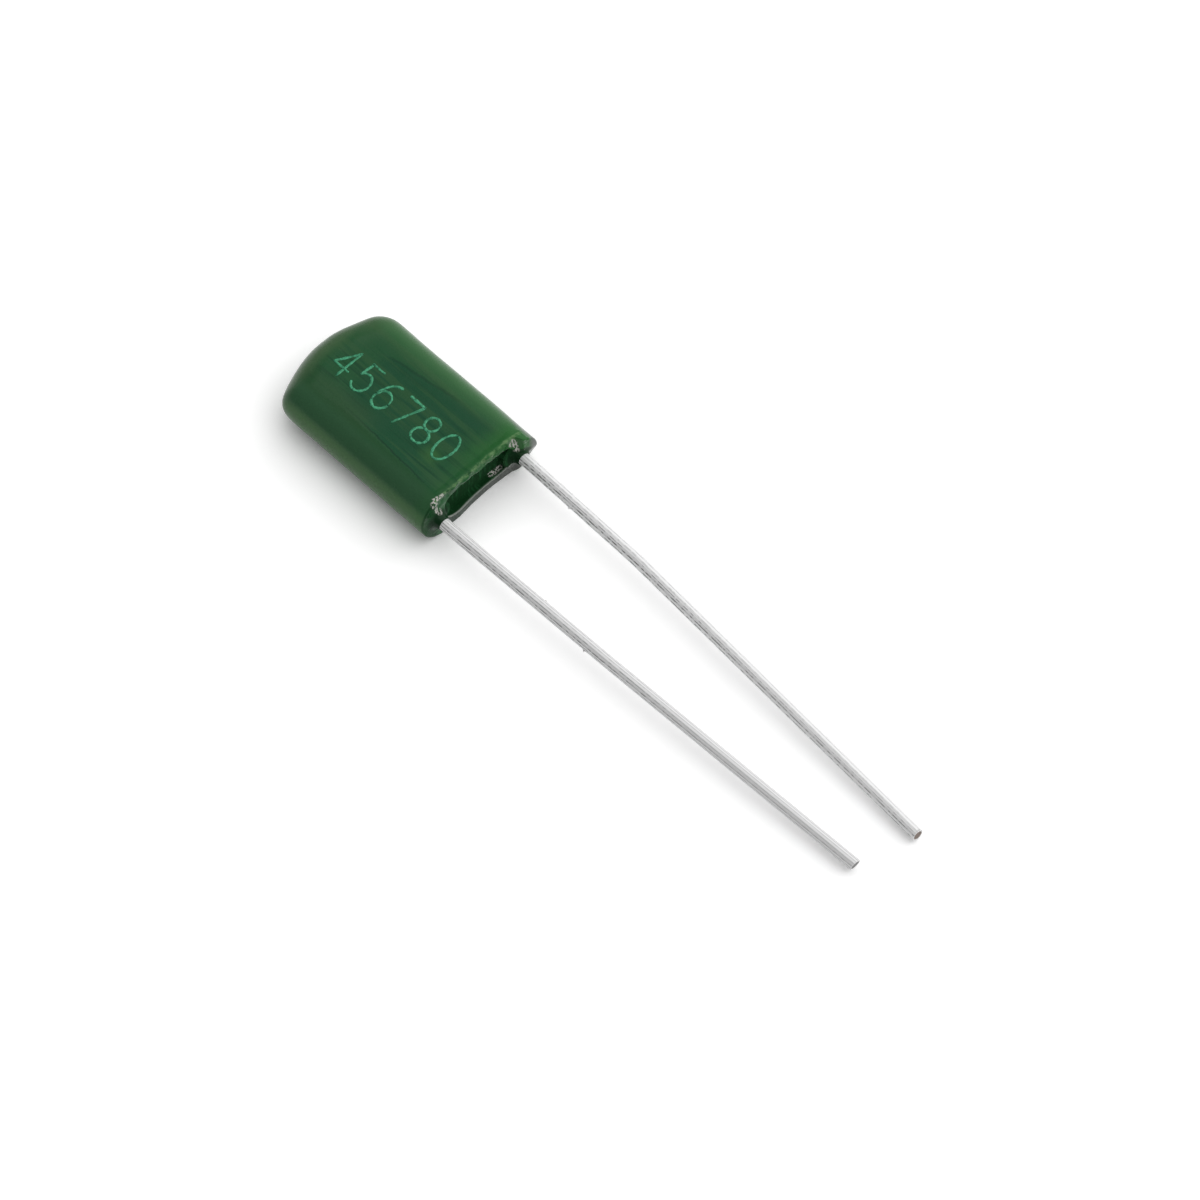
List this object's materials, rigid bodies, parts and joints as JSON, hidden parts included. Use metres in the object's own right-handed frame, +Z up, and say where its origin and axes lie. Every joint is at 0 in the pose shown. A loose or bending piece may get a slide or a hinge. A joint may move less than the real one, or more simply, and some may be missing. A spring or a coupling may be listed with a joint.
{
  "type": "polyester film capacitor",
  "caption": "Small film capacitor with a flat, round-edged body dipped in green resin, arched at one end, and bare tinned wire leads out of the other end for soldering to a circuit board.",
  "frame": {"origin": "middle of the bounding box, on the surface that the part lies on", "axes": "+X from the arched end of the body to the tips of the leads, +Z up out of the flat side that it lies on, +Y towards the right lead"},
  "size_m": [0.0304, 0.0058, 0.0024],
  "materials": {
    "green_resin": "glossy dipped resin, dark green over the winding and lighter at the round edges",
    "film_roll": "wound polyester film and metal foil",
    "tinned_wire": "dull tinned wire with fine drawing lines"
  },
  "bodies": {
    "root": {"resin_coat": "green_resin", "film_winding": "film_roll", "left_lead": "tinned_wire", "right_lead": "tinned_wire"}
  },
  "joints": []
}
